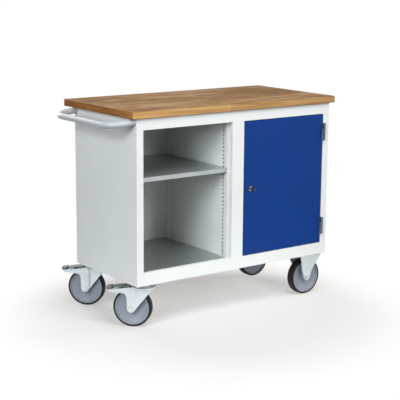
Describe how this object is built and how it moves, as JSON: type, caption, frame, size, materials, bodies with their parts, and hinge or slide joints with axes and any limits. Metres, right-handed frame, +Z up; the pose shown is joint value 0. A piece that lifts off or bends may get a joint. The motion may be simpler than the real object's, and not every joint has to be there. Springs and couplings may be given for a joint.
{
  "type": "mobile workbench",
  "caption": "Steel workbench on castors with a wooden top, an open bay with a shelf, a cupboard with a lockable door, and a push handle.",
  "frame": {"origin": "on the floor, under the middle of the whole bench's bounding box (push handle to worktop edge, key to the rear brake pedal's tip)", "axes": "+X to the right along the bench, from the push handle to the fixed castors; +Y from the front to the back; +Z up"},
  "size_m": [1.1896, 0.6008, 0.924],
  "materials": {
    "cabinet_paint": "light grey powder coat, satin",
    "handle_paint": "light grey powder coat, satin",
    "door_paint": "blue powder coat, satin",
    "beech": "lacquered beech, edge-glued staves",
    "zinc": "bright zinc plate",
    "galvanised": "zinc-plated pressed steel",
    "galvanised_sheet": "galvanised sheet steel",
    "pedal_steel": "dark pressed steel",
    "hinge_steel": "zinc-plated steel, satin",
    "nickel": "nickel plate",
    "buffer_rubber": "black rubber",
    "wheel_plastic": "grey moulded plastic",
    "tyre_rubber": "black solid rubber"
  },
  "bodies": {
    "cabinet": {"back_panel": "cabinet_paint", "base_panel": "cabinet_paint", "castor_bolts": "zinc", "castor_channels": "zinc", "castor_kingpins": "zinc", "castor_nuts": "zinc", "centre_post": "cabinet_paint", "divider_strips": "cabinet_paint", "door_buffers": "buffer_rubber", "front_bottom_rail": "cabinet_paint", "front_right_fork": "galvanised", "front_top_rail": "cabinet_paint", "handle_bolts": "zinc", "handle_inserts": "zinc", "hinge_frame_leaves": "hinge_steel", "hinge_pins": "zinc", "left_bay_floor": "galvanised_sheet", "left_divider_wall": "cabinet_paint", "left_shelf": "galvanised_sheet", "left_side_panel": "cabinet_paint", "left_stile": "cabinet_paint", "lock_strike": "zinc", "push_handle": "handle_paint", "rear_right_fork": "galvanised", "right_axles": "zinc", "right_bay_floor": "galvanised_sheet", "right_divider_wall": "cabinet_paint", "right_shelf": "galvanised_sheet", "right_side_panel": "cabinet_paint", "right_stile": "cabinet_paint", "shelf_clips": "zinc", "side_uprights": "cabinet_paint", "swivel_castor_plates": "galvanised", "top_panel": "cabinet_paint", "worktop": "beech", "worktop_screws": "zinc"},
    "door": {"door_skin": "door_paint", "door_liner": "door_paint", "hinge_door_leaves": "hinge_steel", "lock_barrel": "nickel", "lock_nut": "zinc"},
    "lock": {"lock_plug": "nickel", "lock_cam": "zinc"},
    "key": {"key": "nickel"},
    "front_left_castor": {"front_left_fork": "galvanised", "front_left_axle": "zinc", "front_left_pedal_pin": "zinc"},
    "front_left_wheel": {"front_left_hub": "wheel_plastic", "front_left_tyre": "tyre_rubber"},
    "front_left_brake": {"front_left_pedal": "pedal_steel"},
    "front_right_wheel": {"front_right_hub": "wheel_plastic", "front_right_tyre": "tyre_rubber"},
    "rear_left_castor": {"rear_left_fork": "galvanised", "rear_left_axle": "zinc", "rear_left_pedal_pin": "zinc"},
    "rear_left_wheel": {"rear_left_hub": "wheel_plastic", "rear_left_tyre": "tyre_rubber"},
    "rear_left_brake": {"rear_left_pedal": "pedal_steel"},
    "rear_right_wheel": {"rear_right_hub": "wheel_plastic", "rear_right_tyre": "tyre_rubber"}
  },
  "joints": [
    {"name": "door_hinge", "type": "hinge", "parent": "cabinet", "child": "door", "pos_m": [0.53932, -0.27169, 0.546], "axis": [0, 0, 1], "range_deg": [0, 170]},
    {"name": "lock_turn", "type": "hinge", "parent": "door", "child": "lock", "pos_m": [0.11782, -0.26519, 0.546], "axis": [0, 1, 0], "range_deg": [0, 90]},
    {"name": "key_withdraw", "type": "slide", "parent": "lock", "child": "key", "axis": [0, -1, 0], "range_m": [0, 0.042]},
    {"name": "front_left_swivel", "type": "hinge", "parent": "cabinet", "child": "front_left_castor", "pos_m": [-0.40018, -0.20919, 0.178], "axis": [0, 0, 1], "continuous": true},
    {"name": "front_left_wheel_spin", "type": "hinge", "parent": "front_left_castor", "child": "front_left_wheel", "pos_m": [-0.43229, -0.17352, 0.083], "axis": [-0.7431, -0.6691, 0], "continuous": true},
    {"name": "front_left_brake_press", "type": "hinge", "parent": "front_left_castor", "child": "front_left_brake", "pos_m": [-0.44166, -0.16311, 0.168], "axis": [-0.7431, -0.6691, 0], "range_deg": [0, 7]},
    {"name": "front_right_wheel_spin", "type": "hinge", "parent": "cabinet", "child": "front_right_wheel", "pos_m": [0.48882, -0.20919, 0.083], "axis": [0, 1, 0], "continuous": true},
    {"name": "rear_left_swivel", "type": "hinge", "parent": "cabinet", "child": "rear_left_castor", "pos_m": [-0.40018, 0.17081, 0.178], "axis": [0, 0, 1], "continuous": true},
    {"name": "rear_left_wheel_spin", "type": "hinge", "parent": "rear_left_castor", "child": "rear_left_wheel", "pos_m": [-0.43229, 0.20648, 0.083], "axis": [-0.7431, -0.6691, 0], "continuous": true},
    {"name": "rear_left_brake_press", "type": "hinge", "parent": "rear_left_castor", "child": "rear_left_brake", "pos_m": [-0.44166, 0.21689, 0.168], "axis": [-0.7431, -0.6691, 0], "range_deg": [0, 7]},
    {"name": "rear_right_wheel_spin", "type": "hinge", "parent": "cabinet", "child": "rear_right_wheel", "pos_m": [0.48882, 0.17081, 0.083], "axis": [0, 1, 0], "continuous": true}
  ]
}
